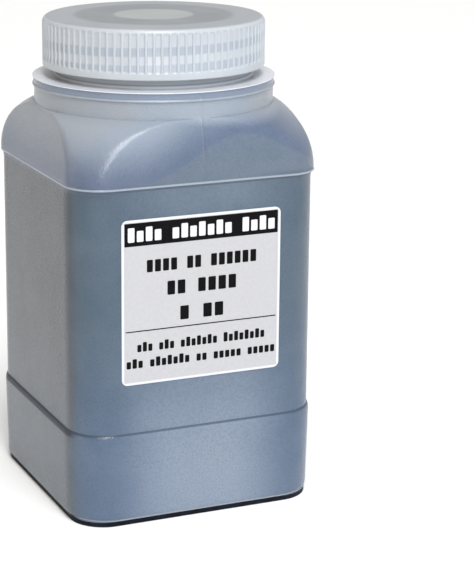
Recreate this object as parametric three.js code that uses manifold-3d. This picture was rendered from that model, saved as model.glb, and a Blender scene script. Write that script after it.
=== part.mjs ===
// A square wide-mouth jar of rock tumbling grit: jar, screw cap, cap liner, label and the grit inside.
// Units are millimetres, +Z is up, and the origin is on the floor under the middle of the jar.
import * as THREE from "three";
import { mergeVertices } from "three/addons/utils/BufferGeometryUtils.js";
import Module from "manifold-3d";

const wasm = await Module();
wasm.setup();

// ---- Driving dimensions ----
// Body: a square with rounded corners. Widths are across the flats.
const PANEL_WIDTH = 78.5;
const PANEL_CORNER_R = 12.4;
const BASE_BAND_WIDTH = 79.8;
const BASE_BAND_LOW_WIDTH = 79;
const BASE_LEDGE_Z = 28.9;
const BASE_LEDGE_HEIGHT = 1.8;
const HEEL_HEIGHT = 3.6;
const HEEL_TUCK = 0.9;
const PLINTH_HEIGHT = 1.6;
const PLINTH_FLARE = 0.1;
const FOOT_WIDTH = 77.2;
const FOOT_CORNER_R = 10.9;
const STANDING_RING = 4.5;
const PUSH_UP = 1.5;
const PUSH_UP_EDGE = 3;
const SHOULDER_WIDTH = 79.3;
const SHOULDER_CORNER_R = 11.2;
const SHOULDER_LEDGE_Z = 102.5;
const SHOULDER_LIP = 0.5;
const SHOULDER_WIDEST_Z = 104;
const SHOULDER_CREASE = 1.6;
const DOME_RISE_POWER = 1.2;
const DOME_SIDE_POWER = 2;
const DOME_CORNER_POWER = 1.3;
const DOME_WALL_LEAN = 0.2;
const CREASE_FADE_POWER = 6;
const WALL = 1.2;
const FLOOR = 1.6;
const INNER_HEEL = 4;

// Neck: round, with a wide collar below the threaded finish.
const COLLAR_R = 36.6;
const COLLAR_BOTTOM_Z = 121.4;
const FLANGE_R = 37.1;
const FLANGE_BOTTOM_Z = 126.6;
const FLANGE_TOP_Z = 129.4;
const FLANGE_EDGE = 0.5;
const NECK_ROOT = 0.7;
const FINISH_R = 30;
const MOUTH_R = 27.9;
const RIM_Z = 144.3;
const RIM_EDGE = 0.4;

// Thread: right-handed, five turns to the inch.
const THREAD_PITCH = 5.08;
const THREAD_TURNS = 1.5;
const THREAD_DEPTH = 1.3;
const NECK_THREAD_TOP_Z = 142.9;
const NECK_THREAD_TOP_ANGLE = 88;
const CAP_THREAD_ABOVE = 1.1;
const CAP_THREAD_DROP = 1.87;
const NECK_RIDGE_WIDTH = 2.2;
const NECK_CREST_WIDTH = 1;
const CAP_RIDGE_WIDTH = 2.4;
const CAP_CREST_WIDTH = 1.2;

// Cap: a ribbed skirt under a flat top.
const CAP_R = 33.9;
const CAP_RIB_ROOT_R = 33.5;
const CAP_BORE_R = 31.8;
const CAP_BOTTOM_Z = 132.4;
const CAP_TOP_Z = 147.4;
const CAP_TOP_THICKNESS = 1.5;
const CAP_BAND_HEIGHT = 2;
const CAP_EDGE_R = 1.9;
const CAP_BEVEL = 0.3;
const CAP_RIBS = 90;
const CAP_RIB_SHARE = 0.26;

// Liner, label and grit.
const LINER_R = 30;
const LINER_THICKNESS = 1;
const LABEL_WIDTH = 50.8;
const LABEL_HEIGHT = 49.8;
const LABEL_CORNER_R = 1.8;
const LABEL_THICKNESS = 0.15;
const LABEL_CENTRE_X = -0.8;
const LABEL_CENTRE_Z = 68.9;
const GRIT_LOW_Z = 101;
const HEAP_HEIGHT = 15.7;
const HEAP_X = 12.5;
const HEAP_Y = -30;
const HEAP_SPREAD = 22;

// Clearances, how deep a joined ridge is buried in its wall, and how far the block that shapes the
// heap stands out past the jar.
const REST_GAP = 0.3;
const LABEL_GAP = 0.1;
const BURIED = 0.4;
const BLOCK_SPARE = 2;

// Facets.
const BODY_SEGMENTS = 56;
const CORNER_BUNCHING = 0.5;
const ROUND_SEGMENTS = 60;
const THREAD_STEP = 10;
const DOME_STEPS = 7;
const HEAP_CELLS = 16;
const EDGE_STEPS = 3;
const LEDGE_STEPS = 2;
const LABEL_CORNER_STEPS = 5;
const TAPER_STEPS = 4;
const TAPER_START = 0.1;
const HOLE_SEGMENTS = 24;

// ---- Helpers ----
const rad = THREE.MathUtils.degToRad;

// A closed mesh as a solid that can be joined and cut.
function toSolid(geometry) {
  const bare = geometry.clone();
  bare.deleteAttribute("normal");
  bare.deleteAttribute("uv");
  const merged = mergeVertices(bare, 1e-4);
  const mesh = new wasm.Mesh({
    numProp: 3,
    vertProperties: merged.attributes.position.array,
    triVerts: new Uint32Array(merged.index.array),
  });
  return new wasm.Manifold(mesh);
}

function fromSolid(solid) {
  const mesh = solid.getMesh();
  const geometry = new THREE.BufferGeometry();
  geometry.setAttribute("position", new THREE.BufferAttribute(mesh.vertProperties, 3));
  geometry.setIndex(new THREE.BufferAttribute(mesh.triVerts, 1));
  geometry.computeVertexNormals();
  return geometry;
}

// A profile of [radius, z] points turned round the Z axis.
function turned(profile, segments) {
  const points = profile.map(([r, z]) => new THREE.Vector2(r, z));
  return new THREE.LatheGeometry(points, segments).rotateX(Math.PI / 2);
}

// Distance from the axis to the outline of a rounded square, in the direction of an angle.
function roundedSquareRadius(angle, half, corner) {
  const quarter = Math.PI / 2;
  const turn = THREE.MathUtils.euclideanModulo(angle + quarter / 2, quarter) - quarter / 2;
  const off = Math.abs(turn);
  const straight = half - corner;
  if (Math.tan(off) * half <= straight) return half / Math.cos(off);
  const along = straight * (Math.cos(off) + Math.sin(off));
  return along + Math.sqrt(along * along - 2 * straight * straight + corner * corner);
}

// One outline of the body: a rounded square, cut by a circle of radius crown. The crease where they
// meet is rounded. A ring whose corner equals its half width is round.
function ring(z, half, corner = half, crown = Infinity, crease = 0) {
  return { z, half, corner, crown, crease };
}

function ringRadius(angle, { half, corner, crown, crease }) {
  const square = roundedSquareRadius(angle, half, corner);
  const near = crease - Math.abs(square - crown);
  const rounding = near > 0 ? (near * near) / (4 * crease) : 0;
  return Math.min(square, crown) - rounding;
}

// Rings joined into one skin. The facets are bunched towards the corners.
function ringSkin(rings, segments) {
  const geometry = turned(rings.map((ring) => [ring.half, ring.z]), segments);
  const position = geometry.attributes.position;
  for (let i = 0; i < position.count; i++) {
    const ring = rings[i % rings.length];
    if (ring.half === 0) continue;
    const even = Math.atan2(position.getY(i), position.getX(i));
    const angle = even + (CORNER_BUNCHING * Math.sin(4 * even)) / 4;
    const radius = ringRadius(angle, ring);
    position.setX(i, radius * Math.cos(angle));
    position.setY(i, radius * Math.sin(angle));
  }
  return geometry;
}

// Points of a quarter ellipse, from the side (share 0) to the top (share 1).
function quarter(steps, make) {
  const list = [];
  for (let i = 0; i <= steps; i++) {
    const turn = (i / steps) * (Math.PI / 2);
    list.push(make(Math.max(Math.cos(turn), 0), Math.sin(turn)));
  }
  return list;
}

// A ridge that winds round the Z axis. Its section is a trapezoid, wide at the wall it grows from.
function threadRidge({ wallR, crestR, topZ, topAngle, wallWidth, crestWidth }) {
  const steps = Math.round((THREAD_TURNS * 360) / THREAD_STEP);
  const outward = Math.sign(crestR - wallR);
  const buriedR = wallR - outward * BURIED;
  const points = [];
  const faces = [];
  for (let i = 0; i <= steps; i++) {
    const back = THREAD_TURNS - (i / steps) * THREAD_TURNS;
    const angle = rad(topAngle - 360 * back);
    const z = topZ - THREAD_PITCH * back;
    const rise = Math.min(1, (Math.min(i, steps - i) + TAPER_START) / TAPER_STEPS);
    const tipR = wallR + (crestR - wallR) * rise;
    const section = [
      [buriedR, wallWidth / 2],
      [tipR, crestWidth / 2],
    ].sort((a, b) => a[0] - b[0]);
    const [inner, outer] = section;
    for (const [r, dz] of [[inner[0], -inner[1]], [outer[0], -outer[1]], outer, inner]) {
      points.push(r * Math.cos(angle), r * Math.sin(angle), z + dz);
    }
    if (i === 0) continue;
    const here = i * 4;
    for (let side = 0; side < 4; side++) {
      const next = (side + 1) % 4;
      const [a, b] = [here - 4 + side, here - 4 + next];
      faces.push(a, here + side, here + next, a, here + next, b);
    }
  }
  const last = steps * 4;
  faces.push(0, 1, 2, 0, 2, 3, last, last + 2, last + 1, last, last + 3, last + 2);
  const geometry = new THREE.BufferGeometry();
  geometry.setAttribute("position", new THREE.Float32BufferAttribute(points, 3));
  geometry.setIndex(faces);
  return geometry;
}

function named(name, geometry, material) {
  const mesh = new THREE.Mesh(geometry, material);
  mesh.name = name;
  return mesh;
}

// ---- Materials ----
const jarPlastic = new THREE.MeshStandardMaterial({ color: 0x8d9bad, roughness: 0.38, metalness: 0 });
const capPlastic = new THREE.MeshStandardMaterial({ color: 0xc9ced4, roughness: 0.4, metalness: 0 });
const linerFoam = new THREE.MeshStandardMaterial({ color: 0xf0efe9, roughness: 0.9, metalness: 0 });
const labelPaper = new THREE.MeshStandardMaterial({ color: 0xd8dadd, roughness: 0.6, metalness: 0 });
const gritMineral = new THREE.MeshStandardMaterial({ color: 0x23272e, roughness: 0.7, metalness: 0 });

// ---- Jar ----
// The shoulder between the square body and the round collar: a round dome cut by four leaning
// sides. The dome's own wall leans more, so it is set in by more than the inset.
function domeRings(inset) {
  const rise = COLLAR_BOTTOM_Z - SHOULDER_WIDEST_Z - inset;
  return quarter(DOME_STEPS, (side, up) => {
    const half = COLLAR_R + (SHOULDER_WIDTH / 2 - COLLAR_R) * side ** DOME_SIDE_POWER;
    const corner = COLLAR_R + (SHOULDER_CORNER_R - COLLAR_R) * side ** DOME_CORNER_POWER;
    const crown = (half - corner) * Math.SQRT2 + corner;
    const crease = SHOULDER_CREASE * (1 - up ** CREASE_FADE_POWER);
    return ring(
      SHOULDER_WIDEST_Z + rise * up ** DOME_RISE_POWER,
      half - inset,
      SHOULDER_CORNER_R - inset,
      crown + (crease * side) / 4 - inset * (1 + DOME_WALL_LEAN * side),
      crease,
    );
  });
}

function jarOutside() {
  const foot = FOOT_WIDTH / 2;
  const low = BASE_BAND_LOW_WIDTH / 2;
  const band = BASE_BAND_WIDTH / 2;
  const panel = PANEL_WIDTH / 2;
  const bandCorner = PANEL_CORNER_R + (band - panel);
  const inner = foot - STANDING_RING;
  const heel = quarter(EDGE_STEPS, (side, down) =>
    ring(
      HEEL_HEIGHT - (HEEL_HEIGHT - PLINTH_HEIGHT) * down,
      low - HEEL_TUCK * (1 - side),
      bandCorner - HEEL_TUCK * (1 - side),
    ),
  ).reverse();
  const ledge = quarter(LEDGE_STEPS, (side, up) =>
    ring(
      BASE_LEDGE_Z - BASE_LEDGE_HEIGHT * (1 - up),
      panel + (band - panel) * side,
      PANEL_CORNER_R + (bandCorner - PANEL_CORNER_R) * side,
    ),
  );
  return [
    ring(PUSH_UP, 0),
    ring(PUSH_UP, inner - PUSH_UP_EDGE, FOOT_CORNER_R - PUSH_UP_EDGE),
    ring(0, inner, FOOT_CORNER_R),
    ring(0, foot, FOOT_CORNER_R),
    ring(PLINTH_HEIGHT, foot + PLINTH_FLARE, FOOT_CORNER_R + PLINTH_FLARE),
    ...heel,
    ...ledge,
    ring(SHOULDER_LEDGE_Z, panel, PANEL_CORNER_R),
    ring(SHOULDER_LEDGE_Z + SHOULDER_LIP, SHOULDER_WIDTH / 2, SHOULDER_CORNER_R),
    ...domeRings(0),
    ring(FLANGE_BOTTOM_Z, COLLAR_R),
    ring(FLANGE_BOTTOM_Z + FLANGE_EDGE / 2, FLANGE_R),
    ring(FLANGE_TOP_Z - FLANGE_EDGE, FLANGE_R),
    ring(FLANGE_TOP_Z, FLANGE_R - FLANGE_EDGE),
    ring(FLANGE_TOP_Z, FINISH_R + NECK_ROOT),
    ring(FLANGE_TOP_Z + NECK_ROOT, FINISH_R),
    ring(RIM_Z - RIM_EDGE, FINISH_R),
    ring(RIM_Z, FINISH_R - RIM_EDGE),
  ];
}

// The inside, from the mouth down to the middle of the floor, set in by an extra gap.
function jarInside(gap) {
  const wall = PANEL_WIDTH / 2 - WALL - gap;
  const corner = PANEL_CORNER_R - WALL - gap;
  const floor = FLOOR + gap;
  return [
    ring(FLANGE_BOTTOM_Z - gap, MOUTH_R - gap),
    ring(FLANGE_BOTTOM_Z - gap, COLLAR_R - WALL - gap),
    ...domeRings(WALL + gap).reverse(),
    ring(SHOULDER_LEDGE_Z, wall, corner),
    ring(floor + INNER_HEEL, wall, corner),
    ring(floor + INNER_HEEL / 4, wall - INNER_HEEL / 4, corner - INNER_HEEL / 4),
    ring(floor, wall - INNER_HEEL, corner - INNER_HEEL / 2),
    ring(floor + PUSH_UP, FOOT_WIDTH / 2 - STANDING_RING - PUSH_UP_EDGE, corner - INNER_HEEL / 2),
    ring(floor + PUSH_UP, 0),
  ];
}

function makeJar() {
  const skin = ringSkin(
    [
      ...jarOutside(),
      ring(RIM_Z, MOUTH_R + RIM_EDGE),
      ring(RIM_Z - RIM_EDGE, MOUTH_R),
      ...jarInside(0),
    ],
    BODY_SEGMENTS,
  );
  const ridge = threadRidge({
    wallR: FINISH_R,
    crestR: FINISH_R + THREAD_DEPTH,
    topZ: NECK_THREAD_TOP_Z,
    topAngle: NECK_THREAD_TOP_ANGLE,
    wallWidth: NECK_RIDGE_WIDTH,
    crestWidth: NECK_CREST_WIDTH,
  });
  return fromSolid(toSolid(skin).add(toSolid(ridge)));
}

// ---- Screw cap ----
function capBody() {
  const underTop = CAP_TOP_Z - CAP_TOP_THICKNESS;
  const bandTop = CAP_BOTTOM_Z + CAP_BAND_HEIGHT;
  const edge = quarter(EDGE_STEPS, (side, up) => [
    CAP_R - CAP_EDGE_R * (1 - side),
    CAP_TOP_Z - CAP_EDGE_R * (1 - up),
  ]);
  return turned(
    [
      [0, underTop],
      [CAP_BORE_R, underTop],
      [CAP_BORE_R, CAP_BOTTOM_Z + CAP_BEVEL],
      [CAP_BORE_R + CAP_BEVEL, CAP_BOTTOM_Z],
      [CAP_R - CAP_BEVEL, CAP_BOTTOM_Z],
      [CAP_R, CAP_BOTTOM_Z + CAP_BEVEL],
      [CAP_R, bandTop],
      [CAP_RIB_ROOT_R, bandTop + CAP_R - CAP_RIB_ROOT_R],
      [CAP_RIB_ROOT_R, CAP_TOP_Z - CAP_EDGE_R - CAP_R + CAP_RIB_ROOT_R],
      ...edge,
      [0, CAP_TOP_Z],
    ],
    ROUND_SEGMENTS,
  );
}

// All the grip ribs as one toothed ring. Its valleys lie inside the skirt's wall.
function ribRing() {
  const pitch = (2 * Math.PI) / CAP_RIBS;
  const ribHalf = (pitch * CAP_RIB_SHARE) / 2;
  const buriedR = CAP_RIB_ROOT_R - BURIED;
  const points = [];
  for (let i = 0; i < CAP_RIBS; i++) {
    const [from, to] = [i * pitch - ribHalf, i * pitch + ribHalf];
    for (const [r, angle] of [[buriedR, from], [CAP_R, from], [CAP_R, to], [buriedR, to]]) {
      points.push(new THREE.Vector2(r * Math.cos(angle), r * Math.sin(angle)));
    }
  }
  const shape = new THREE.Shape(points);
  const hole = new THREE.Path();
  hole.absarc(0, 0, CAP_BORE_R + BURIED, 0, 2 * Math.PI, true);
  shape.holes.push(hole);
  const low = CAP_BOTTOM_Z + CAP_BAND_HEIGHT - BURIED;
  const high = CAP_TOP_Z - CAP_EDGE_R;
  const settings = { depth: high - low, bevelEnabled: false, curveSegments: HOLE_SEGMENTS };
  return new THREE.ExtrudeGeometry(shape, settings).translate(0, 0, low);
}

function makeCap() {
  const ridge = threadRidge({
    wallR: CAP_BORE_R,
    crestR: CAP_BORE_R - THREAD_DEPTH,
    topZ: NECK_THREAD_TOP_Z + CAP_THREAD_ABOVE,
    topAngle: NECK_THREAD_TOP_ANGLE + (360 * (CAP_THREAD_ABOVE + CAP_THREAD_DROP)) / THREAD_PITCH,
    wallWidth: CAP_RIDGE_WIDTH,
    crestWidth: CAP_CREST_WIDTH,
  });
  return fromSolid(toSolid(capBody()).add(toSolid(ribRing())).add(toSolid(ridge)));
}

// ---- Cap liner ----
function makeLiner() {
  const low = RIM_Z + REST_GAP;
  return turned(
    [
      [0, low],
      [LINER_R, low],
      [LINER_R, low + LINER_THICKNESS],
      [0, low + LINER_THICKNESS],
    ],
    ROUND_SEGMENTS,
  );
}

// ---- Label ----
function makeLabel() {
  const [w, h, r] = [LABEL_WIDTH / 2, LABEL_HEIGHT / 2, LABEL_CORNER_R];
  const shape = new THREE.Shape();
  shape.absarc(w - r, h - r, r, 0, Math.PI / 2);
  shape.absarc(r - w, h - r, r, Math.PI / 2, Math.PI);
  shape.absarc(r - w, r - h, r, Math.PI, 1.5 * Math.PI);
  shape.absarc(w - r, r - h, r, 1.5 * Math.PI, 2 * Math.PI);
  shape.closePath();
  const settings = {
    depth: LABEL_THICKNESS,
    bevelEnabled: false,
    curveSegments: LABEL_CORNER_STEPS,
  };
  return new THREE.ExtrudeGeometry(shape, settings)
    .rotateX(Math.PI / 2)
    .translate(LABEL_CENTRE_X, -PANEL_WIDTH / 2 - LABEL_GAP, LABEL_CENTRE_Z);
}

// ---- Grit ----
// How high the loose grit lies at a place: flat at the left and back, heaped up against the front.
function heapHeight(x, y) {
  const away = Math.hypot(x - HEAP_X, y - HEAP_Y) / HEAP_SPREAD;
  return GRIT_LOW_Z + HEAP_HEIGHT * Math.exp(-away * away);
}

// A block with the heap as its top, wider than the jar.
function heapBlock() {
  const side = PANEL_WIDTH + 2 * BLOCK_SPARE;
  const block = new THREE.BoxGeometry(side, side, 1, HEAP_CELLS, HEAP_CELLS, 1);
  const position = block.attributes.position;
  for (let i = 0; i < position.count; i++) {
    const top = position.getZ(i) > 0;
    position.setZ(i, top ? heapHeight(position.getX(i), position.getY(i)) : -BLOCK_SPARE);
  }
  return block;
}

function makeGrit() {
  const lid = ring(FLANGE_BOTTOM_Z - REST_GAP, 0);
  const cavity = ringSkin([...jarInside(REST_GAP).reverse(), lid], BODY_SEGMENTS);
  return fromSolid(toSolid(cavity).intersect(toSolid(heapBlock())));
}

// ---- The part ----
const part = new THREE.Group();
part.add(
  named("jar", makeJar(), jarPlastic),
  named("screw_cap", makeCap(), capPlastic),
  named("cap_liner", makeLiner(), linerFoam),
  named("front_label", makeLabel(), labelPaper),
  named("grit_fill", makeGrit(), gritMineral),
);

export default part;
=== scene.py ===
"""The looks of the square jar of tumbling grit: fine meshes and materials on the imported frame."""
import math

import bpy
import numpy as np
from mathutils import Matrix, Vector


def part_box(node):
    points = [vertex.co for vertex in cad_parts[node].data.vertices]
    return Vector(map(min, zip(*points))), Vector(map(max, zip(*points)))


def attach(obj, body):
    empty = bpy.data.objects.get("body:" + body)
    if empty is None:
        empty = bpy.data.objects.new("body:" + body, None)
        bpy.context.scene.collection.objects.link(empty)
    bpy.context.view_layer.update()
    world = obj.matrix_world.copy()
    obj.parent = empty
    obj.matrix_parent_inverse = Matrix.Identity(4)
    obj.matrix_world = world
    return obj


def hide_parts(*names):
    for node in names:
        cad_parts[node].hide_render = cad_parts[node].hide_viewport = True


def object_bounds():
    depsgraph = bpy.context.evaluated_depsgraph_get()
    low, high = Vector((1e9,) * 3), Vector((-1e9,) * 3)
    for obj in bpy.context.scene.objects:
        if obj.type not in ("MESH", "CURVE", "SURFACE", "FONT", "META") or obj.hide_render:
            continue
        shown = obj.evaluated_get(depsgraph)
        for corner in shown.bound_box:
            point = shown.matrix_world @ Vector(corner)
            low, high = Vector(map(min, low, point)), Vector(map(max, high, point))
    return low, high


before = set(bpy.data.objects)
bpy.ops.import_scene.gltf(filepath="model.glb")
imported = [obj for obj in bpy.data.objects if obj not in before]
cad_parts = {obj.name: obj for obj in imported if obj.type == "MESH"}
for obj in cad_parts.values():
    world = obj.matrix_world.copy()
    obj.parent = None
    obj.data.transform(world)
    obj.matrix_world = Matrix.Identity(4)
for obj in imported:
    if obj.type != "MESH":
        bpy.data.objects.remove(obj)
cad_low, cad_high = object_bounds()

MM = 0.001

# ---- Sizes in millimetres, the same as in the CAD part ----
PANEL_HALF = 39.25
PANEL_CORNER = 12.4
BAND_HALF = cad_high.x / MM
BAND_LOW_HALF = 39.5
BAND_CORNER = PANEL_CORNER + BAND_HALF - PANEL_HALF
LEDGE_Z = 28.9
LEDGE_HEIGHT = 1.8
FOOT_HALF = 38.6
FOOT_CORNER = 10.9
PLINTH_HEIGHT = 1.6
PLINTH_FLARE = 0.1
HEEL_LOW_HALF = 38.7
HEEL_HEIGHT = 3.6
STANDING_RING = 4.5
PUSH_UP = 1.5
PUSH_UP_RUN = 3
SHOULDER_HALF = 39.65
SHOULDER_CORNER = 11.2
SHOULDER_LEDGE_Z = 102.5
SHOULDER_WIDEST_Z = 104
CREASE = 1.6
WALL = 1.2
FLOOR = 1.6
COLLAR_R = 36.6
COLLAR_BOTTOM_Z = 121.4
FLANGE_R = 37.1
FLANGE_BOTTOM_Z = 126.6
FLANGE_TOP_Z = 129.4
FINISH_R = 30
MOUTH_R = 27.9
RIM_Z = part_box("jar")[1].z / MM

PITCH = 5.08
THREAD_TURNS = 1.5
THREAD_DEPTH = 1.3
NECK_THREAD_TOP_Z = 142.9
NECK_THREAD_TOP_ANGLE = 88
CAP_THREAD_TOP_Z = 144
CAP_THREAD_TOP_ANGLE = 298.5

CAP_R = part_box("screw_cap")[1].x / MM
CAP_ROOT_R = 33.5
CAP_BORE_R = 31.8
CAP_LOW_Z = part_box("screw_cap")[0].z / MM
CAP_TOP_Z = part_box("screw_cap")[1].z / MM
CAP_TOP_THICKNESS = 1.5
CAP_BAND_HEIGHT = 2
CAP_EDGE_R = 1.9
CAP_RIBS = 90

GRIT_LOW_Z = 101
HEAP_HEIGHT = 15.7
HEAP_X = 12.5
HEAP_Y = -30
HEAP_SPREAD = 22
REST_GAP = 0.3

# ---- Sizes of the fine meshes only, in millimetres ----
PLINTH_MATERIAL_R = 35
PANEL_RING_SPACING = 0.8
NECK_RING_SPACING = 0.28
BORE_RING_SPACING = 0.3
MOULD_LINE_HEIGHT = 0.12
MOULD_LINE_DEGREES = 0.5
GRIT_ROUGHNESS = 0.18
# How far above the grit behind it the wall starts to clear, and how much higher it is quite clear.
CLEAR_START = 0.6
CLEAR_RANGE = 20
# A crown so large that it cuts nothing off an outline.
NO_CROWN = 1e3


# ---- Mesh helpers ----
def smooth(share):
    """0 to 1 with a soft start and end."""
    share = np.clip(share, 0, 1)
    return share * share * (3 - 2 * share)


def rounded_square(angles, half, corner):
    """Distance from the axis to the outline of a rounded square."""
    off = np.abs((angles + math.pi / 4) % (math.pi / 2) - math.pi / 4)
    straight = half - corner
    along = straight * (np.cos(off) + np.sin(off))
    inside = along * along - 2 * straight * straight + corner * corner
    arc = along + np.sqrt(np.maximum(inside, 0))
    return np.where(np.tan(off) * half <= straight, half / np.cos(off), arc)


def rounded_profile(corners, steps=5):
    """A line through (r, z, fillet) points, with each corner rounded by its fillet."""
    line = []
    for i, (r, z, fillet) in enumerate(corners):
        here = Vector((r, z))
        if fillet == 0:
            line.append(here)
            continue
        before = (Vector(corners[i - 1][:2]) - here).normalized()
        after = (Vector(corners[i + 1][:2]) - here).normalized()
        turn = before.angle(after)
        cut = fillet / math.tan(turn / 2)
        middle = here + (before + after).normalized() * fillet / math.sin(turn / 2)
        first, last = here + before * cut - middle, here + after * cut - middle
        spread = first.angle(last)
        for step in range(steps + 1):
            share = step / steps
            arm = first * math.sin((1 - share) * spread) + last * math.sin(share * spread)
            line.append(middle + arm / math.sin(spread))
    return [(point.x, point.y) for point in line]


def split_lines(profile, longest):
    """The same profile with no stretch longer than this."""
    made = [profile[0]]
    for (r0, z0), (r1, z1) in zip(profile, profile[1:]):
        pieces = max(1, math.ceil(math.hypot(r1 - r0, z1 - z0) / longest))
        for i in range(1, pieces + 1):
            share = i / pieces
            made.append((r0 + (r1 - r0) * share, z0 + (z1 - z0) * share))
    return made


def skin_mesh(name, radii, heights, angles, attributes=None):
    """A closed skin from rings of radii and heights (rings x angles, mm). The first and last rings
    sit on the axis and become one point each."""
    count, around = radii.shape
    grid = np.stack([radii * np.cos(angles), radii * np.sin(angles), heights], axis=-1)
    middle = grid[1:-1].reshape(-1, 3)
    start, end = grid[0].mean(0), grid[-1].mean(0)
    points = np.vstack([middle, start, end]) * MM
    low, high = len(middle), len(middle) + 1
    rows = np.arange(count - 3)[:, None] * around
    here = np.arange(around)[None, :]
    after = (here + 1) % around
    quads = np.stack(
        [rows + here, rows + after, rows + around + after, rows + around + here], axis=-1
    )
    faces = quads.reshape(-1, 4).tolist()
    here, after = here[0], after[0]
    last = (count - 3) * around
    faces += [[low, int(b), int(a)] for a, b in zip(here, after)]
    faces += [[int(a) + last, int(b) + last, high] for a, b in zip(here, after)]
    mesh = bpy.data.meshes.new(name)
    mesh.from_pydata(points.tolist(), [], faces)
    for key, values in (attributes or {}).items():
        full = np.concatenate([values[1:-1].ravel(), [values[0].mean(), values[-1].mean()]])
        mesh.attributes.new(key, "FLOAT", "POINT").data.foreach_set("value", full)
    return mesh


def spin(profile, angles):
    """Radii and heights of the rings that (r, z) points sweep round the axis."""
    points = np.array(profile, float)
    return points[:, :1] + 0 * angles, points[:, 1:] + 0 * angles


def finish_piece(mesh, material, body, nodes, sharp=50):
    """Makes a smooth-shaded piece that rides on a body and stands for CAD nodes."""
    mesh.update()
    mesh.shade_smooth()
    mesh.set_sharp_from_angle(angle=math.radians(sharp))
    piece = bpy.data.objects.new(mesh.name, mesh)
    bpy.context.scene.collection.objects.link(piece)
    mesh.materials.append(material)
    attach(piece, body)
    if nodes:
        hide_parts(*nodes)
    return piece


def thread_relief(angles, heights, top_z, top_angle, depth):
    """How far a thread ridge stands off its wall, with rounded flanks and tapered ends."""
    half_crest, half_wall = 0.5, 1.15
    relief = np.zeros(np.broadcast(angles, heights).shape)
    turn = np.degrees(angles) % 360
    for whole in range(-2, 3):
        back = (top_angle - turn) / 360 + whole
        off = np.abs(heights - (top_z - PITCH * back))
        section = smooth((half_wall - off) / (half_wall - half_crest))
        taper = smooth(back * 9) * smooth((THREAD_TURNS - back) * 9)
        relief = np.maximum(relief, depth * section * taper)
    return relief


# ---- Node helpers ----
def new_material(name, roughness, **sockets):
    """A material, its node tree and its shader, with these values on the shader's sockets."""
    material = bpy.data.materials.new(name)
    material.use_nodes = True
    shader = material.node_tree.nodes["Principled BSDF"]
    shader.inputs["Roughness"].default_value = roughness
    for key, value in sockets.items():
        shader.inputs[key.replace("_", " ")].default_value = value
    return material, material.node_tree, shader


def put(tree, socket, value):
    """Links another socket to this one, or sets a plain value on it."""
    if isinstance(value, bpy.types.NodeSocket):
        tree.links.new(value, socket)
    elif value is not None:
        socket.default_value = value


def calc(tree, operation, *values):
    """The result of one Math node."""
    node = tree.nodes.new("ShaderNodeMath")
    node.operation = operation
    for socket, value in zip(node.inputs, values):
        put(tree, socket, value)
    return node.outputs[0]


def step_between(tree, value, low, high, to_low=0.0, to_high=1.0):
    """Goes softly from to_low at low to to_high at high."""
    node = tree.nodes.new("ShaderNodeMapRange")
    node.interpolation_type = "SMOOTHSTEP"
    for key, number in zip(("Value", "From Min", "From Max", "To Min", "To Max"),
                           (value, low, high, to_low, to_high)):
        put(tree, node.inputs[key], number)
    return node.outputs["Result"]


def step_mm(tree, value, low, high):
    """Goes softly from 0 to 1 as a value in metres goes from low to high, which are in mm."""
    return step_between(tree, value, low * MM, high * MM)


def band(tree, z, low, full_low, full_high, high):
    """1 between full_low and full_high, fading to 0 at low and at high, all in mm."""
    return calc(tree, "MULTIPLY", step_mm(tree, z, low, full_low), step_mm(tree, z, high, full_high))


def past_edge(tree, value, low, high):
    """How far a value lies past the nearer of two edges, negative between them."""
    off = calc(tree, "ABSOLUTE", calc(tree, "SUBTRACT", value, (low + high) / 2))
    return calc(tree, "SUBTRACT", off, (high - low) / 2)


def mix(tree, factor, first, second):
    """The first colour where the factor is 0, the second where it is 1."""
    node = tree.nodes.new("ShaderNodeMix")
    node.data_type = "RGBA"
    colours = [socket for socket in node.inputs if socket.type == "RGBA"]
    put(tree, node.inputs["Factor"], factor)
    put(tree, colours[0], first)
    put(tree, colours[1], second)
    return next(socket for socket in node.outputs if socket.type == "RGBA")


def place(tree):
    """The piece's own coordinates, and x, y and z apart, in metres."""
    where = tree.nodes.new("ShaderNodeTexCoord").outputs["Object"]
    split = tree.nodes.new("ShaderNodeSeparateXYZ")
    tree.links.new(where, split.inputs[0])
    return where, split.outputs[0], split.outputs[1], split.outputs[2]


def noise(tree, where, grain_mm, detail=2.0, rough=0.5):
    """Cloudy values round 0.5, in patches of about this size."""
    node = tree.nodes.new("ShaderNodeTexNoise")
    tree.links.new(where, node.inputs["Vector"])
    node.inputs["Scale"].default_value = 1 / (grain_mm * MM)
    node.inputs["Detail"].default_value = detail
    node.inputs["Roughness"].default_value = rough
    return node.outputs["Fac"]


def bump(tree, shader, height, strength, depth_mm, under=None):
    """Bumps the shader's surface, on top of the bumps under it."""
    node = tree.nodes.new("ShaderNodeBump")
    node.inputs["Strength"].default_value = strength
    node.inputs["Distance"].default_value = depth_mm * MM
    tree.links.new(height, node.inputs["Height"])
    put(tree, node.inputs["Normal"], under)
    tree.links.new(node.outputs[0], shader.inputs["Normal"])
    return node.outputs[0]


def read(tree, name):
    """A value that the mesh carries at each point."""
    node = tree.nodes.new("ShaderNodeAttribute")
    node.attribute_name = name
    return node.outputs["Fac"]


def srgb(red, green, blue):
    """A colour given as screen values from 0 to 255."""
    values = []
    for value in (red, green, blue):
        share = value / 255
        values.append(share / 12.92 if share <= 0.04045 else ((share + 0.055) / 1.055) ** 2.4)
    return (*values, 1)


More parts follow.
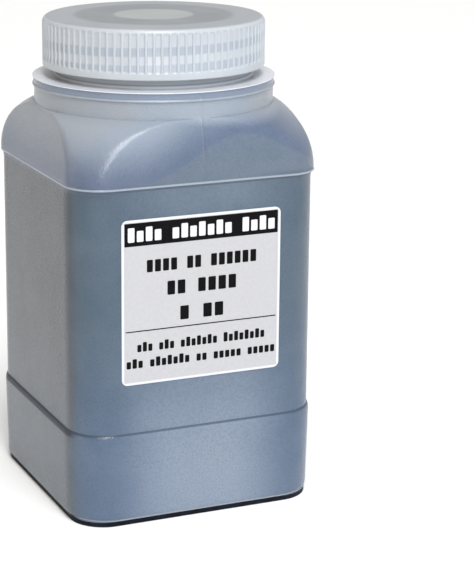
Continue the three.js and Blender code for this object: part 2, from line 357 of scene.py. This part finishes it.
# ---- Materials ----
# Where the wall's colour changes, in mm: from side to front or back (by y), and, on the front and back,
# to painted light bounced off the floor low down and to a paler tone near the top (out from the middle,
# then by z).
SIDE_END_Y, FRONT_START_Y = 29.5, 34
BOUNCE_EDGE_X, BOUNCE_FULL_X = 32, 8
BOUNCE_TOP_Z, BOUNCE_FULL_Z = 72, 12
PALE_TOP_START_Z, PALE_TOP_FULL_Z = 84, 100
PALE_TOP_SHARE = 0.33
GRAINS_SHARE = 0.2
PAINTED_LINE_SHARE = 0.75
JAR_GLOSS, MATT_GLOSS = 0.5, 0.05


def wall_colour(tree, x, y, z, facing):
    """The jar's wall before its painted lines of shade and highlight, and how far it is clear of the grit
    (0 to 1).
    """
    gap = read(tree, "gap")
    on_collar = step_mm(tree, z, COLLAR_BOTTOM_Z - 4, COLLAR_BOTTOM_Z + 1)
    just_clear = step_between(tree, gap, 0.0, 0.05)
    clear = calc(tree, "MAXIMUM", step_between(tree, gap, 0.05, 0.95), on_collar)

    # In the middle of the front and back: painted light bounced off the floor low down, and a paler tone
    # near the top.
    from_middle = calc(tree, "MINIMUM", calc(tree, "ABSOLUTE", x), calc(tree, "ABSOLUTE", y))
    middle = calc(tree, "MULTIPLY", facing, step_mm(tree, from_middle, BOUNCE_EDGE_X, BOUNCE_FULL_X))
    bounce_low = step_mm(tree, z, BOUNCE_TOP_Z, BOUNCE_FULL_Z)
    high_up = step_between(tree, z, PALE_TOP_START_Z * MM, PALE_TOP_FULL_Z * MM, 0, PALE_TOP_SHARE)
    bounce_and_pale_top = calc(tree, "MULTIPLY", middle, calc(tree, "MAXIMUM", bounce_low, high_up))
    heaped = step_mm(tree, z, SHOULDER_LEDGE_Z, SHOULDER_LEDGE_Z + 3)

    # Painted shade: the sides are painted darker and greyer than the front and back for the dimmer,
    # warmer light on them; both are painted lighter low down for light bounced off the floor.
    side = mix(tree, bounce_low, srgb(56, 64, 72), srgb(78, 87, 97))
    front = mix(tree, bounce_low, srgb(66, 83, 98), srgb(77, 95, 118))
    against_grit = mix(tree, bounce_and_pale_top, mix(tree, facing, side, front), srgb(122, 134, 150))
    against_grit = mix(tree, heaped, against_grit, srgb(91, 103, 118))
    colour = mix(tree, just_clear, against_grit, srgb(85, 97, 119))
    # Clear of the grit, the sides keep a slightly warmer painted tint.
    unbacked = mix(tree, facing, srgb(142, 148, 155), srgb(139, 148, 159))
    return mix(tree, clear, colour, unbacked), clear


def jar_material():
    """Milky plastic. The grit darkens it where it lies against the wall, less as the gap grows."""
    material, tree, shader = new_material(
        "jar_milky", 0.24, IOR=1.5, Subsurface_Weight=0.12, Subsurface_Scale=1.2 * MM,
        Subsurface_Radius=(1, 1, 1)
    )
    where, x, y, z = place(tree)
    facing = step_mm(tree, calc(tree, "ABSOLUTE", y), SIDE_END_Y, FRONT_START_Y)
    beside = calc(tree, "SUBTRACT", 1, facing)
    colour, clear = wall_colour(tree, x, y, z, facing)
    clouds = step_between(tree, noise(tree, where, 16, 3), 0.3, 0.7)
    colour = mix(tree, clouds, colour, mix(tree, 0.04, colour, srgb(190, 198, 210)))

    # Flange: its top, painted light against the cap's shade, its face between two beads, and the neck
    # under the cap.
    top = FLANGE_TOP_Z
    lit_flange_top = band(tree, z, top - 0.4, top - 0.1, top + 0.5, top + 0.9)
    colour = mix(tree, lit_flange_top, colour, srgb(206, 209, 215))
    for low, high, tone in (
        (FLANGE_BOTTOM_Z + 0.6, top - 0.3, srgb(118, 129, 146)),
        (top + 1.2, RIM_Z, srgb(168, 172, 178)),
    ):
        inside = band(tree, z, low - 0.1, low + 0.1, high - 0.1, high + 0.1)
        colour = mix(tree, inside, colour, tone)

    # Single grains that show through the wall.
    grains = step_between(tree, noise(tree, where, 0.55, 2), 0.35, 0.75)
    hidden = calc(tree, "MULTIPLY", clear, GRAINS_SHARE)
    shown = calc(tree, "MULTIPLY", grains, calc(tree, "SUBTRACT", GRAINS_SHARE, hidden))
    colour = mix(tree, shown, colour, srgb(44, 54, 72))

    # Painted shade in the crease at the base band's ledge and under the shoulder's lip, and a painted
    # highlight on the lip's top.
    ledge, lip = LEDGE_Z, SHOULDER_LEDGE_Z
    for low, high, tone in (
        (ledge - 0.6, ledge + 0.3, srgb(56, 66, 80)),
        (lip - 0.6, lip + 0.05, srgb(66, 76, 92)),
        (lip + 0.1, lip + 1.0, srgb(158, 166, 176)),
    ):
        inside = band(tree, z, low, low + 0.3, high - 0.3, high)
        colour = mix(tree, calc(tree, "MULTIPLY", inside, PAINTED_LINE_SHARE), colour, tone)

    # The heel is pale where it tucks in. On the two sides the heel is painted a dark, matt shadow, and
    # the ledge a dark, matt shade.
    ledge_shade_band = band(tree, z, ledge - 1.9, ledge - 1.6, ledge + 0.1, ledge + 0.3)
    shaded_ledge = calc(tree, "MULTIPLY", ledge_shade_band, beside)
    colour = mix(tree, shaded_ledge, colour, srgb(66, 70, 78))
    colour = mix(tree, step_mm(tree, z, 2.5, 2.0), colour, srgb(150, 157, 168))
    heel_shadow = calc(tree, "MULTIPLY", step_mm(tree, z, 2.6, 2.3), beside)
    colour = mix(tree, heel_shadow, colour, srgb(13, 16, 23))
    tree.links.new(colour, shader.inputs["Base Color"])
    matt = calc(tree, "MAXIMUM", shaded_ledge, heel_shadow)
    lost = calc(tree, "MULTIPLY", matt, JAR_GLOSS - MATT_GLOSS)
    gloss = calc(tree, "SUBTRACT", JAR_GLOSS, lost)
    tree.links.new(gloss, shader.inputs["Specular IOR Level"])

    broad = bump(tree, shader, noise(tree, where, 22, 1), 0.5, 0.5)
    bump(tree, shader, noise(tree, where, 0.6, 2), 0.8, 0.16, broad)
    return material


def plinth_shadow_material():
    """The jar's foot, painted nearly black as the contact shadow under the jar."""
    material, tree, shader = new_material("jar_foot_shadow", 0.6, Specular_IOR_Level=0.1)
    where, *_ = place(tree)
    patch = step_between(tree, noise(tree, where, 3, 3), 0.3, 0.7)
    tree.links.new(mix(tree, patch, srgb(9, 12, 19), srgb(22, 27, 37)), shader.inputs["Base Color"])
    bump(tree, shader, noise(tree, where, 0.5, 2), 0.4, 0.05)
    return material


def cap_thread_shade(tree, x, y, z):
    """1 where the cap's thread stands behind the skirt, 0 between its turns."""
    turn = calc(tree, "DIVIDE", calc(tree, "ARCTAN2", y, x), 2 * math.pi)
    climb = calc(tree, "DIVIDE", calc(tree, "SUBTRACT", z, CAP_THREAD_TOP_Z * MM), PITCH * MM)
    top_turn = CAP_THREAD_TOP_ANGLE / 360
    phase = calc(tree, "SUBTRACT", climb, calc(tree, "SUBTRACT", turn, top_turn))
    # Whole turns are added to keep the phase above zero, and half a turn to put the crest at 0.5.
    share = calc(tree, "FRACT", calc(tree, "ADD", phase, 40.5))
    off = calc(tree, "ABSOLUTE", calc(tree, "SUBTRACT", share, 0.5))
    return step_between(tree, off, 0.30, 0.19)


def cap_top_colour(tree, x, y):
    """The flat top, with painted reflections: a pale spot at the middle, a darker disc round it and a
    paler rim.
    """
    squares = calc(tree, "ADD", calc(tree, "MULTIPLY", x, x), calc(tree, "MULTIPLY", y, y))
    radius = calc(tree, "SQRT", squares)
    spot = step_mm(tree, radius, 13, 11)
    rim = step_mm(tree, radius, 23, 25.5)
    disc = mix(tree, spot, srgb(123, 127, 132), srgb(153, 159, 158))
    return mix(tree, rim, disc, srgb(146, 150, 155))


def cap_material():
    """Whiter milky plastic. Thread, band and ribs are thick and pale, the thin valleys darker."""
    material, tree, shader = new_material(
        "cap_milky", 0.34, IOR=1.5, Subsurface_Weight=0.15, Subsurface_Scale=1.2 * MM,
        Subsurface_Radius=(1, 1, 1)
    )
    where, x, y, z = place(tree)
    above = step_mm(tree, z, CAP_TOP_Z - 4.6, CAP_TOP_Z - 3.0)
    below = step_mm(tree, z, CAP_LOW_Z + 2.7, CAP_LOW_Z + 1.9)
    ends = calc(tree, "MAXIMUM", above, below)
    thick = calc(tree, "MAXIMUM", ends, cap_thread_shade(tree, x, y, z))
    valley = mix(tree, thick, srgb(153, 160, 170), srgb(174, 179, 185))
    colour = mix(tree, read(tree, "rib"), valley, srgb(173, 178, 183))
    flat = step_mm(tree, z, CAP_TOP_Z - 0.5, CAP_TOP_Z - 0.1)
    colour = mix(tree, flat, colour, cap_top_colour(tree, x, y))
    clouds = step_between(tree, noise(tree, where, 14, 2), 0.25, 0.75)
    colour = mix(tree, clouds, colour, mix(tree, 0.05, colour, srgb(245, 247, 250)))
    tree.links.new(colour, shader.inputs["Base Color"])
    broad = bump(tree, shader, noise(tree, where, 12, 1), 0.4, 0.25)
    bump(tree, shader, noise(tree, where, 0.45, 2), 0.25, 0.04, broad)
    return material


def foam_material():
    """White closed-cell foam."""
    material, tree, shader = new_material("liner_foam", 0.85)
    where, *_ = place(tree)
    cells = tree.nodes.new("ShaderNodeTexVoronoi")
    tree.links.new(where, cells.inputs["Vector"])
    cells.inputs["Scale"].default_value = 1 / (0.5 * MM)
    colour = mix(tree, cells.outputs["Distance"], srgb(238, 237, 231), srgb(212, 211, 205))
    tree.links.new(colour, shader.inputs["Base Color"])
    bump(tree, shader, cells.outputs["Distance"], 0.5, 0.12)
    return material


def paper_material():
    """Coated sticker paper: faint fibres, a whiter cut edge."""
    material, tree, shader = new_material("label_paper", 0.5)
    where, x, _, z = place(tree)
    low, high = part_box("front_label")
    past_sides = past_edge(tree, x, low.x, high.x)
    past_ends = past_edge(tree, z, low.z, high.z)
    border = step_mm(tree, calc(tree, "MAXIMUM", past_sides, past_ends), -0.85, -0.6)
    fibre = step_between(tree, noise(tree, where, 1.1, 4, 0.7), 0.35, 0.7)
    colour = mix(tree, fibre, srgb(180, 179, 181), srgb(175, 174, 177))
    colour = mix(tree, border, colour, srgb(206, 208, 211))
    tree.links.new(colour, shader.inputs["Base Color"])
    bump(tree, shader, noise(tree, where, 0.35, 3), 0.2, 0.02)
    return material


def ink_material(name, first, second):
    """Flat printing ink in two close tones."""
    material, tree, shader = new_material(name, 0.5, Specular_IOR_Level=0.1)
    where, *_ = place(tree)
    patch = step_between(tree, noise(tree, where, 0.8, 3), 0.35, 0.7)
    tree.links.new(mix(tree, patch, first, second), shader.inputs["Base Color"])
    bump(tree, shader, noise(tree, where, 0.3, 2), 0.15, 0.01)
    return material


def grit_material():
    """Black, sharp grains, some with a painted glint."""
    material, tree, shader = new_material("grit_mineral", 0.42)
    where, *_ = place(tree)
    cells = tree.nodes.new("ShaderNodeTexVoronoi")
    tree.links.new(where, cells.inputs["Vector"])
    cells.inputs["Scale"].default_value = 1 / (0.6 * MM)
    pick = tree.nodes.new("ShaderNodeSeparateColor")
    tree.links.new(cells.outputs["Color"], pick.inputs[0])
    colour = mix(tree, pick.outputs[0], srgb(20, 23, 30), srgb(58, 64, 76))
    facet_glint = step_between(tree, pick.outputs[1], 0.9, 0.95)
    colour = mix(tree, facet_glint, colour, srgb(140, 146, 156))
    tree.links.new(colour, shader.inputs["Base Color"])
    bump(tree, shader, cells.outputs["Distance"], 0.8, 0.4)
    return material


# ---- Jar ----
def quarter(steps, make):
    """Points of a quarter turn, from the side to the top."""
    turns = [math.pi / 2 * i / steps for i in range(steps + 1)]
    return [make(max(math.cos(turn), 0), math.sin(turn)) for turn in turns]


def dome(inset, steps=30):
    """Rings between the square body and the round collar: a round dome cut by four leaning sides."""
    rise = COLLAR_BOTTOM_Z - SHOULDER_WIDEST_Z - inset

    def make(side, up):
        # The outline goes from square to round: flat sides give way slowly, corners faster.
        half = COLLAR_R + (SHOULDER_HALF - COLLAR_R) * side ** 2
        corner = COLLAR_R + (SHOULDER_CORNER - COLLAR_R) * side ** 1.3
        crown = (half - corner) * math.sqrt(2) + corner
        crease = CREASE * (1 - up ** 6)
        return (
            SHOULDER_WIDEST_Z + rise * up ** 1.2,
            half - inset,
            SHOULDER_CORNER - inset,
            crown + crease * side / 4 - inset * (1 + 0.2 * side),
            crease,
        )

    return quarter(steps, make)


def plinth_rings():
    """The foot: a rounded lower edge, and a wall that flares slightly to its top."""
    steps = (
        (0, -0.25),
        (0.08, -0.07),
        (0.25, 0),
        (PLINTH_HEIGHT - 0.1, PLINTH_FLARE - 0.02),
        (PLINTH_HEIGHT, PLINTH_FLARE),
    )
    return [(z, FOOT_HALF + out, FOOT_CORNER + out) for z, out in steps]


def lip_rings():
    """The shoulder's lip: a small bead that stands out over the panels."""
    steps = (
        (-0.15, 0.4),
        (0, 0.38),
        (0.08, 0.2),
        (0.22, 0.04),
        (0.45, -0.06),
        (0.7, -0.04),
        (1.0, 0.05),
        (1.25, 0.05),
    )
    return [
        (SHOULDER_LEDGE_Z + up, SHOULDER_HALF - inset, SHOULDER_CORNER + inset)
        for up, inset in steps
    ]


def neck_profile():
    """Collar, flange with a bead at its top and bottom, finish and mouth, as (r, z) points."""
    face_r = FLANGE_R - 0.35
    return rounded_profile([
        (COLLAR_R, COLLAR_BOTTOM_Z + 1, 0),
        (COLLAR_R, FLANGE_BOTTOM_Z, 0.25),
        (FLANGE_R, FLANGE_BOTTOM_Z, 0.15),
        (FLANGE_R, FLANGE_BOTTOM_Z + 0.3, 0.12),
        (face_r, FLANGE_BOTTOM_Z + 0.7, 0.15),
        (face_r, FLANGE_TOP_Z - 0.35, 0.1),
        (FLANGE_R, FLANGE_TOP_Z - 0.25, 0.05),
        (FLANGE_R, FLANGE_TOP_Z, 0.12),
        (FINISH_R, FLANGE_TOP_Z, 0.6),
        (FINISH_R, RIM_Z, 0.4),
        (MOUTH_R, RIM_Z, 0.4),
        (MOUTH_R, RIM_Z - 1, 0),
    ])


def jar_outside():
    """Rings from the middle of the underside up to the mouth."""
    foot = FOOT_HALF - STANDING_RING
    under = [
        (PUSH_UP, 0, 0),
        (PUSH_UP, foot - PUSH_UP_RUN, FOOT_CORNER - 3),
        (0, foot, FOOT_CORNER - 2),
    ]
    heel = quarter(8, lambda side, down: (
        HEEL_HEIGHT - (HEEL_HEIGHT - PLINTH_HEIGHT - 0.05) * down,
        HEEL_LOW_HALF + (BAND_LOW_HALF - HEEL_LOW_HALF) * side,
        BAND_CORNER - (BAND_LOW_HALF - HEEL_LOW_HALF) * (1 - side),
    ))[::-1]
    ledge = quarter(7, lambda side, up: (
        LEDGE_Z - LEDGE_HEIGHT * (1 - up),
        PANEL_HALF + (BAND_HALF - PANEL_HALF) * side,
        PANEL_CORNER + (BAND_CORNER - PANEL_CORNER) * side,
    ))
    levels = np.arange(LEDGE_Z, SHOULDER_LEDGE_Z, PANEL_RING_SPACING)[1:-1]
    panel = [(z, PANEL_HALF, PANEL_CORNER) for z in levels]
    neck = [(z, r, r) for r, z in split_lines(neck_profile(), NECK_RING_SPACING)]
    return under + plinth_rings() + heel + ledge + panel + lip_rings() + dome(0) + neck


def jar_inside(gap):
    """Rings from the mouth down to the middle of the floor, set in by an extra gap."""
    wall = PANEL_HALF - WALL - gap
    corner = PANEL_CORNER - WALL - gap
    floor = FLOOR + gap
    return [
        (FLANGE_BOTTOM_Z - gap, MOUTH_R - gap, MOUTH_R - gap),
        (FLANGE_BOTTOM_Z - gap, COLLAR_R - WALL - gap, COLLAR_R - WALL - gap),
        *dome(WALL + gap)[::-1],
        (SHOULDER_LEDGE_Z, wall, corner),
        (floor + 4, wall, corner),
        (floor + 1, wall - 1, corner - 1),
        (floor, wall - 4, corner - 2),
        (floor + PUSH_UP, FOOT_HALF - STANDING_RING - PUSH_UP_RUN, corner - 2),
        (floor + PUSH_UP, 0, 0),
    ]


def jar_angles():
    """Angles round the jar, closer at the corners and at the mould lines on the front and back."""
    count, bunching = 240, 0.5
    even = np.arange(count) * 2 * math.pi / count
    bunched = (even + bunching * np.sin(4 * even) / 4) % (2 * math.pi)
    near = np.radians([-0.55, -0.3, -0.15, 0.15, 0.3, 0.55])
    return np.unique(np.concatenate([bunched, near + math.pi / 2, near + 1.5 * math.pi]))


def outline(angles, half, corner, crown=NO_CROWN, crease=0.0):
    """A rounded square, cut by a circle of radius crown with the crease between them rounded."""
    square = rounded_square(angles, half, corner)
    reach = np.maximum(crease, 1e-6)
    near = np.maximum(reach - np.abs(square - crown), 0)
    return np.minimum(square, crown) - near * near / (4 * reach)


def ring_arrays(rings, angles):
    """Radii and heights of rings given as (z, half, corner) or (z, half, corner, crown, crease)."""
    heights = np.array([ring[0] for ring in rings], float)[:, None] + 0 * angles
    radii = np.array([outline(angles, *ring[1:]) if ring[1] else 0 * angles for ring in rings])
    return radii, heights


def heap_height(x, y):
    """Height of the grit's surface."""
    away = np.hypot(x - HEAP_X, y - HEAP_Y) / HEAP_SPREAD
    return GRIT_LOW_Z + HEAP_HEIGHT * np.exp(-away * away)


def make_jar():
    """The jar's skin, with its thread and mould lines. It carries how clear of the grit each point is."""
    outside, inside = jar_outside(), jar_inside(0)
    angles = jar_angles()
    radii, heights = ring_arrays(outside + inside, angles)
    outer = np.arange(len(radii))[:, None] < len(outside)
    on_neck = outer & (heights > FLANGE_TOP_Z + 0.5) & (radii > FINISH_R - 0.1)
    ridge = thread_relief(angles, heights, NECK_THREAD_TOP_Z, NECK_THREAD_TOP_ANGLE, THREAD_DEPTH)
    mould = np.minimum(np.abs(angles - math.pi / 2), np.abs(angles - 1.5 * math.pi))
    line = smooth(1 - mould / math.radians(MOULD_LINE_DEGREES))
    on_line = outer & (heights > LEDGE_Z) & (heights < FLANGE_TOP_Z)
    radii = radii + ridge * on_neck + MOULD_LINE_HEIGHT * line * on_line
    inner_r = radii - WALL
    grit_z = heap_height(inner_r * np.cos(angles), inner_r * np.sin(angles))
    gap = np.clip((heights - CLEAR_START - grit_z) / CLEAR_RANGE, 0, 1)
    mesh = skin_mesh("jar_shell", radii, heights, angles, {"gap": gap})
    piece = finish_piece(mesh, jar_material(), "jar", ["jar"])
    # The plinth's outer faces take the painted contact shadow.
    mesh.materials.append(plinth_shadow_material())
    for face in mesh.polygons:
        out_from_axis = math.hypot(*face.center.xy) > PLINTH_MATERIAL_R * MM
        on_plinth = face.center.z < PLINTH_HEIGHT * MM and out_from_axis
        face.material_index = int(on_plinth)
    return piece


# ---- Cap ----
def cap_profile():
    """The cap's section as (r, z) points, from the middle of its underside round to its top."""
    under = CAP_TOP_Z - CAP_TOP_THICKNESS
    band_top = CAP_LOW_Z + CAP_BAND_HEIGHT
    edge_start = CAP_TOP_Z - CAP_EDGE_R
    inside = rounded_profile([
        (0, under, 0),
        (CAP_BORE_R, under, 0.5),
        (CAP_BORE_R, CAP_LOW_Z, 0.35),
        (CAP_R, CAP_LOW_Z, 0.35),
        (CAP_R, band_top, 0),
    ], 4)
    top = rounded_profile([
        (CAP_R, edge_start - 1, 0),
        (CAP_R, CAP_TOP_Z, CAP_EDGE_R),
        (CAP_R / 2, CAP_TOP_Z, 0),
    ], 8)[1:]
    skirt = [(CAP_R, band_top + up) for up in (0.25, 0.5)]
    skirt += [(CAP_R, edge_start - down) for down in (0.8, 0.4)]
    bore = split_lines(inside, BORE_RING_SPACING)
    bore = bore[next(i for i, (r, _) in enumerate(bore) if r > CAP_BORE_R - 1):]
    middle = [(0, under), (CAP_BORE_R / 2, under)]
    return [*middle, *bore, *skirt, *top, (CAP_R / 4, CAP_TOP_Z), (0, CAP_TOP_Z)]


def make_cap():
    """The cap's skin, with ribs outside, a thread inside and how rib-like it is at each point."""
    # Points across one rib and its valley, as shares of the ribs' spacing.
    offsets = np.array([-0.36, -0.2, -0.15, -0.1, 0.1, 0.15, 0.2, 0.36])
    angles = ((np.arange(CAP_RIBS)[:, None] + offsets) * 2 * math.pi / CAP_RIBS).ravel()
    radii, heights = spin(cap_profile(), angles)

    away = np.tile(np.abs(offsets), CAP_RIBS)
    rib_edge, flank = 0.21, 0.09
    rib = smooth((rib_edge - away) / flank) + 0 * heights
    above_band = smooth((heights - CAP_LOW_Z - CAP_BAND_HEIGHT) / 0.5)
    below_edge = smooth((CAP_TOP_Z - CAP_EDGE_R * 0.55 - heights) / 0.8)
    grooved = above_band * below_edge
    outer = radii > CAP_BORE_R + 1
    radii = radii - (CAP_R - CAP_ROOT_R) * (1 - rib) * grooved * outer

    ridge = thread_relief(angles, heights, CAP_THREAD_TOP_Z, CAP_THREAD_TOP_ANGLE, THREAD_DEPTH)
    on_bore = (np.abs(radii - CAP_BORE_R) < 0.3) & (heights < CAP_TOP_Z - CAP_TOP_THICKNESS)
    radii = radii - ridge * on_bore
    shown = np.where(outer, 1 - (1 - rib) * grooved, 1)
    mesh = skin_mesh("cap_shell", radii, heights, angles, {"rib": shown})
    return finish_piece(mesh, cap_material(), "cap", ["screw_cap"])


# ---- Liner ----
def make_liner():
    """A foam disc as large as the CAD's."""
    low, high = (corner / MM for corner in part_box("cap_liner"))
    profile = rounded_profile([
        (0, low.z, 0),
        (high.x, low.z, 0.25),
        (high.x, high.z, 0.25),
        (0, high.z, 0),
    ])
    count = 120
    angles = np.arange(count) * 2 * math.pi / count
    mesh = skin_mesh("liner_disc", *spin(split_lines(profile, 6), angles), angles)
    return finish_piece(mesh, foam_material(), "liner", ["cap_liner"])


# ---- Label ----
LABEL_CORNER = 1.8
HEADER_INSET = 0.9
HEADER_HEIGHT = 6.9
INK_THICKNESS = 0.012
BLOCK_SHARE = 0.74
LOW_LETTER_SHARE = 0.76
# Each greeked line: its middle below the label's top, the letters' height and spacing, the letters in
# each word, and whether all letters are as tall as capitals.
HEADER_LINE = (4.4, 4.3, 2.8, (4, 7, 4), False)
LINES = (
    (14.1, 3.7, 2.55, (4, 2, 6), True),
    (21.3, 4.2, 3.27, (2, 4), True),
    (29.3, 4.2, 3.7, (1, 2), True),
    (38.4, 2.9, 1.73, (3, 3, 7, 8), False),
    (43.3, 2.9, 1.86, (3, 7, 2, 5, 5), False),
)
RULE_BELOW_TOP = 33.5
RULE_WIDTH = 0.35


def slab(points, front, back, verts, faces):
    """Adds an upright slab whose outline is (x, z) points, between two y planes, in mm."""
    start, count = len(verts), len(points)
    verts += [(x * MM, front * MM, z * MM) for x, z in points]
    verts += [(x * MM, back * MM, z * MM) for x, z in points]
    faces.append([start + i for i in range(count)])
    faces.append([start + count + i for i in reversed(range(count))])
    for i in range(count):
        after = (i + 1) % count
        faces.append([start + i, start + count + i, start + count + after, start + after])


def rounded_box(middle_x, middle_z, width, height, radius, steps=4):
    """Outline of a rounded rectangle, anticlockwise as seen from the front."""
    points = []
    for i, (sx, sz) in enumerate([(1, 1), (-1, 1), (-1, -1), (1, -1)]):
        cx = middle_x + sx * (width / 2 - radius)
        cz = middle_z + sz * (height / 2 - radius)
        for step in range(steps + 1):
            turn = (i + step / steps) * math.pi / 2
            points.append((cx + radius * math.cos(turn), cz + radius * math.sin(turn)))
    return points


def flat_piece(name, material, fill, nodes):
    """A piece of upright slabs on the jar's front, which fill adds to its lists."""
    verts, faces = [], []
    fill(verts, faces)
    mesh = bpy.data.meshes.new(name)
    mesh.from_pydata(verts, [], faces)
    return finish_piece(mesh, material, "jar", nodes)


def greek_line(line, middle_x, top, front, back, verts, faces):
    """A line of blocks in place of letters, in word-long groups."""
    below_top, height, pitch, words, capitals = line
    cells = sum(words) + len(words) - 1
    x = middle_x - cells * pitch / 2
    for word in words:
        for i in range(word):
            tall = capitals or (i * i + word) % 4 == 0
            block_height = height if tall else height * LOW_LETTER_SHARE
            block_width = pitch * BLOCK_SHARE
            block_z = top - below_top - (height - block_height) / 2
            corner = min(0.3, block_width * 0.3)
            block = rounded_box(x + pitch / 2, block_z, block_width, block_height, corner)
            slab(block, front, back, verts, faces)
            x += pitch
        x += pitch


def make_label():
    """The paper, black ink on it, and white ink on the black header."""
    low, high = (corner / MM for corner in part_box("front_label"))
    middle, size = (low + high) / 2, high - low
    top, paper_y = high.z, low.y
    black_y, white_y = paper_y - INK_THICKNESS, paper_y - 2 * INK_THICKNESS

    def paper(verts, faces):
        sheet = rounded_box(middle.x, middle.z, size.x, size.z, LABEL_CORNER, 8)
        slab(sheet, paper_y, -PANEL_HALF, verts, faces)

    def black(verts, faces):
        header_z = top - HEADER_INSET - HEADER_HEIGHT / 2
        header = rounded_box(middle.x, header_z, size.x - 2 * HEADER_INSET, HEADER_HEIGHT, 0.25)
        slab(header, black_y, paper_y, verts, faces)
        rule = rounded_box(middle.x, top - RULE_BELOW_TOP, size.x - 2.4, RULE_WIDTH, 0.1)
        slab(rule, black_y, paper_y, verts, faces)
        for line in LINES:
            greek_line(line, middle.x, top, black_y, paper_y, verts, faces)

    def white(verts, faces):
        greek_line(HEADER_LINE, middle.x, top, white_y, black_y, verts, faces)

    black_ink = ink_material("ink_black", srgb(3, 2, 4), srgb(8, 7, 9))
    white_ink = ink_material("ink_white", srgb(214, 215, 218), srgb(204, 206, 210))
    flat_piece("label_sheet", paper_material(), paper, ["front_label"])
    flat_piece("label_print", black_ink, black, [])
    flat_piece("label_header_print", white_ink, white, [])


# ---- Grit ----
def make_grit():
    """The grit: down the jar's wall with a small gap, and over the heaped top."""
    wall_rings, top_rings, closing_steps = 60, 90, 40
    rings = jar_inside(REST_GAP)[2:][::-1]
    angles = jar_angles()
    full = [(*ring, NO_CROWN, 0)[:5] for ring in rings[2:]]
    ring_z, *shape = np.array(full, float).T

    def wall(z):
        return outline(angles, *(np.interp(z, ring_z, values) for values in shape))

    # The edge of the top is where the heap meets the wall, found by closing in on it.
    edge_r = wall(GRIT_LOW_Z + 0 * angles)
    for _ in range(closing_steps):
        edge_z = heap_height(edge_r * np.cos(angles), edge_r * np.sin(angles))
        edge_r = (edge_r + wall(edge_z)) / 2
    radii, heights = [0 * angles], [rings[0][0] + 0 * angles]
    radii.append(outline(angles, *rings[1][1:]))
    heights.append(rings[1][0] + 0 * angles)
    for share in np.linspace(0, 1, wall_rings):
        z = ring_z[0] + (edge_z - ring_z[0]) * share
        radii.append(wall(z))
        heights.append(z)
    rng = np.random.default_rng(7)
    for share in np.linspace(1, 0, top_rings)[1:]:
        r = edge_r * share
        z = heap_height(r * np.cos(angles), r * np.sin(angles))
        rough = rng.uniform(-GRIT_ROUGHNESS, GRIT_ROUGHNESS, len(angles)) * (share > 0)
        radii.append(r)
        heights.append(z + rough)
    mesh = skin_mesh("grit_bed", np.array(radii), np.array(heights), angles)
    return finish_piece(mesh, grit_material(), "jar", ["grit_fill"], 180)


# ---- Camera, lights and floor ----
CAMERA_AT = (-0.22039, -0.53641, 0.22388)
CAMERA_LOOKS_AT = (0, 0, 0.0836)
LENS = 120.23
SHIFT = (0.1457, -0.1194)
LIGHTS_AIM_AT = (0, 0, 0.08)


def aim(thing, target, along=(0, 0, 1)):
    """Turns a camera or light to look at a place, with its upright side as near as can be to along."""
    back = (thing.location - Vector(target)).normalized()
    side = Vector(along).cross(back).normalized()
    thing.rotation_mode = "QUATERNION"
    thing.rotation_quaternion = Matrix((side, back.cross(side), back)).transposed().to_quaternion()


def add_camera():
    """A long-lens camera, above the jar and in front of its left front corner."""
    camera = bpy.data.objects.new("camera", bpy.data.cameras.new("camera"))
    bpy.context.scene.collection.objects.link(camera)
    camera.location = CAMERA_AT
    aim(camera, CAMERA_LOOKS_AT)
    camera.data.lens = LENS
    camera.data.shift_x, camera.data.shift_y = SHIFT
    camera.data.clip_start, camera.data.clip_end = 0.01, 50
    bpy.context.scene.camera = camera


def add_light(name, at, size, power, colour=(1, 1, 1), along=(0, 0, 1)):
    """A rectangular softbox that faces the middle of the jar."""
    data = bpy.data.lights.new(name, "AREA")
    data.shape = "RECTANGLE"
    data.size, data.size_y = size
    data.energy = power
    data.color = colour
    light = bpy.data.objects.new(name, data)
    light.location = at
    bpy.context.scene.collection.objects.link(light)
    aim(light, LIGHTS_AIM_AT, along)


def add_sun(direction, strength, softness):
    """Even light from far off, as from a large sheet of this many degrees across."""
    data = bpy.data.lights.new("overhead", "SUN")
    data.energy = strength
    data.angle = math.radians(softness)
    light = bpy.data.objects.new("overhead", data)
    light.location = Vector(direction) * 2
    bpy.context.scene.collection.objects.link(light)
    aim(light, (0, 0, 0))


def add_floor():
    """A plain pale floor, in metres."""
    size = 12
    corners = [(-size, -size, 0), (size, -size, 0), (size, size, 0), (-size, size, 0)]
    mesh = bpy.data.meshes.new("floor")
    mesh.from_pydata(corners, [], [(0, 1, 2, 3)])
    floor = bpy.data.objects.new("floor", mesh)
    bpy.context.scene.collection.objects.link(floor)
    material, tree, shader = new_material("floor_card", 0.9, Specular_IOR_Level=0.1)
    where, *_ = place(tree)
    tone = mix(tree, noise(tree, where, 400, 2), srgb(240, 240, 240), srgb(243, 243, 243))
    tree.links.new(tone, shader.inputs["Base Color"])
    mesh.materials.append(material)


def add_world():
    """Soft white surroundings, dimmer and warmer on the jar's left."""
    world = bpy.data.worlds.new("studio")
    world.use_nodes = True
    tree = world.node_tree
    background = tree.nodes["Background"]
    background.inputs["Strength"].default_value = 0.6
    split = tree.nodes.new("ShaderNodeSeparateXYZ")
    tree.links.new(tree.nodes.new("ShaderNodeTexCoord").outputs["Generated"], split.inputs[0])
    to_right = step_between(tree, split.outputs[0], -0.9, 0.1)
    shade = mix(tree, to_right, (0.29, 0.24, 0.18, 1), (1, 1, 1, 1))
    tree.links.new(shade, background.inputs["Color"])
    bpy.context.scene.world = world
    bpy.context.scene.view_settings.view_transform = "Standard"


add_camera()
add_sun(direction=(-0.1, -0.45, 0.89), strength=2.1, softness=30)
# The strip leans so that its reflection runs along the shoulder's left front crease.
add_light("strip", at=(-0.33, -1.15, 0.82), size=(0.26, 1.0), power=10, along=(0.355, 0.25, 0.595))
add_light("left", at=(-1.4, 0.35, 0.28), size=(0.25, 0.5), power=1, colour=(1, 0.85, 0.7))
add_light("front", at=(0.5, -1.5, 0.6), size=(1.0, 0.8), power=2.8, colour=(0.5, 0.75, 1))
add_world()
add_floor()

make_jar()
make_cap()
make_liner()
make_label()
make_grit()
